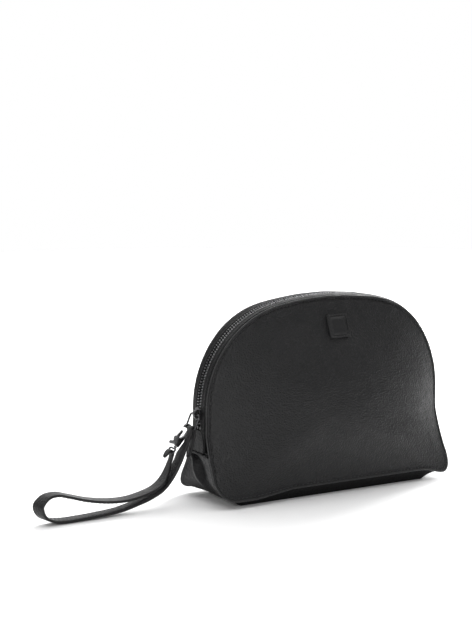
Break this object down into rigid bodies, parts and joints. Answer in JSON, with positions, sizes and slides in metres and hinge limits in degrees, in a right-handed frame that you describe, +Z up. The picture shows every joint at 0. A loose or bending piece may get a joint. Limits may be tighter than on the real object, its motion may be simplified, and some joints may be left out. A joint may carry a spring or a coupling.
{
  "type": "makeup bag",
  "caption": "Dome-shaped black leather-look makeup bag: puffed front and back panels, curved zip gusset, wide flat base and a clip-on wrist strap on the zip slider.",
  "frame": {"origin": "middle of the flat underside, on the surface the bag stands on", "axes": "+X to the right seen from the front, +Y to the back, +Z up; the front panel faces -Y and the wrist strap lies towards -X"},
  "size_m": [0.3751, 0.0814, 0.1648],
  "materials": {
    "front_panel": "fine grained black faux leather, satin",
    "back_panel": "fine grained black faux leather, satin",
    "front_piping": "fine grained black faux leather, satin",
    "back_piping": "fine grained black faux leather, satin",
    "front_zip_facing": "fine grained black faux leather, satin",
    "back_zip_facing": "fine grained black faux leather, satin",
    "base_gusset": "fine grained black faux leather, satin",
    "left_end_tab": "fine grained black faux leather, satin",
    "right_end_tab": "fine grained black faux leather, satin",
    "badge": "fine grained black faux leather, satin",
    "strap_band": "fine grained black faux leather, satin",
    "front_foam": "light foam interlining",
    "back_foam": "light foam interlining",
    "front_lining": "dark woven lining",
    "back_lining": "dark woven lining",
    "front_zip_lining": "dark woven lining",
    "back_zip_lining": "dark woven lining",
    "base_lining": "dark woven lining",
    "front_zip_tape": "black woven zip tape",
    "back_zip_tape": "black woven zip tape",
    "front_zip_teeth": "gunmetal, polished",
    "back_zip_teeth": "gunmetal, polished",
    "front_top_stop": "gunmetal, polished",
    "back_top_stop": "gunmetal, polished",
    "bottom_stop": "gunmetal, polished",
    "slider_body": "gunmetal, polished",
    "slider_bridge": "gunmetal, polished",
    "pull_ring": "gunmetal, polished",
    "clasp_body": "gunmetal, polished",
    "clasp_lever": "gunmetal, polished",
    "lever_pin": "gunmetal, polished",
    "swivel_post": "gunmetal, polished",
    "clasp_eye": "gunmetal, polished",
    "base_board": "thin stiffener board"
  },
  "bodies": {
    "bag": {"front_panel": "front_panel", "back_panel": "back_panel", "front_foam": "front_foam", "back_foam": "back_foam", "front_lining": "front_lining", "back_lining": "back_lining", "front_piping": "front_piping", "back_piping": "back_piping", "front_zip_facing": "front_zip_facing", "back_zip_facing": "back_zip_facing", "front_zip_tape": "front_zip_tape", "back_zip_tape": "back_zip_tape", "front_zip_lining": "front_zip_lining", "back_zip_lining": "back_zip_lining", "front_zip_teeth": "front_zip_teeth", "back_zip_teeth": "back_zip_teeth", "front_top_stop": "front_top_stop", "back_top_stop": "back_top_stop", "bottom_stop": "bottom_stop", "base_gusset": "base_gusset", "base_board": "base_board", "base_lining": "base_lining", "left_end_tab": "left_end_tab", "right_end_tab": "right_end_tab", "badge": "badge"},
    "slider": {"slider_body": "slider_body", "slider_bridge": "slider_bridge"},
    "ring": {"pull_ring": "pull_ring"},
    "strap": {"strap_band": "strap_band", "swivel_post": "swivel_post", "clasp_eye": "clasp_eye"},
    "clasp": {"clasp_body": "clasp_body", "lever_pin": "lever_pin"},
    "lever": {"clasp_lever": "clasp_lever"}
  },
  "joints": [
    {"name": "slider_travel", "type": "hinge", "parent": "bag", "child": "slider", "pos_m": [-0.0305, 0, 0.0781], "axis": [0, 1, 0], "range_deg": [0, 76]},
    {"name": "ring_swing", "type": "hinge", "parent": "slider", "child": "ring", "pos_m": [-0.1171, 0, 0.0743], "axis": [0, 1, 0], "range_deg": [-10, 85]},
    {"name": "strap_swing", "type": "hinge", "parent": "ring", "child": "strap", "pos_m": [-0.1222, 0, 0.0628], "axis": [0, 1, 0], "range_deg": [-10, 25]},
    {"name": "clasp_swivel", "type": "hinge", "parent": "strap", "child": "clasp", "pos_m": [-0.1222, 0.0044, 0.0628], "axis": [-0.6502, 0, -0.7598], "range_deg": [-10, 10]},
    {"name": "lever_press", "type": "hinge", "parent": "clasp", "child": "lever", "pos_m": [-0.13256, 0.0044, 0.05561], "axis": [0, 1, 0], "range_deg": [0, 25], "stiffness_Nm_per_rad": 0.005, "springref_deg": -20.05}
  ]
}
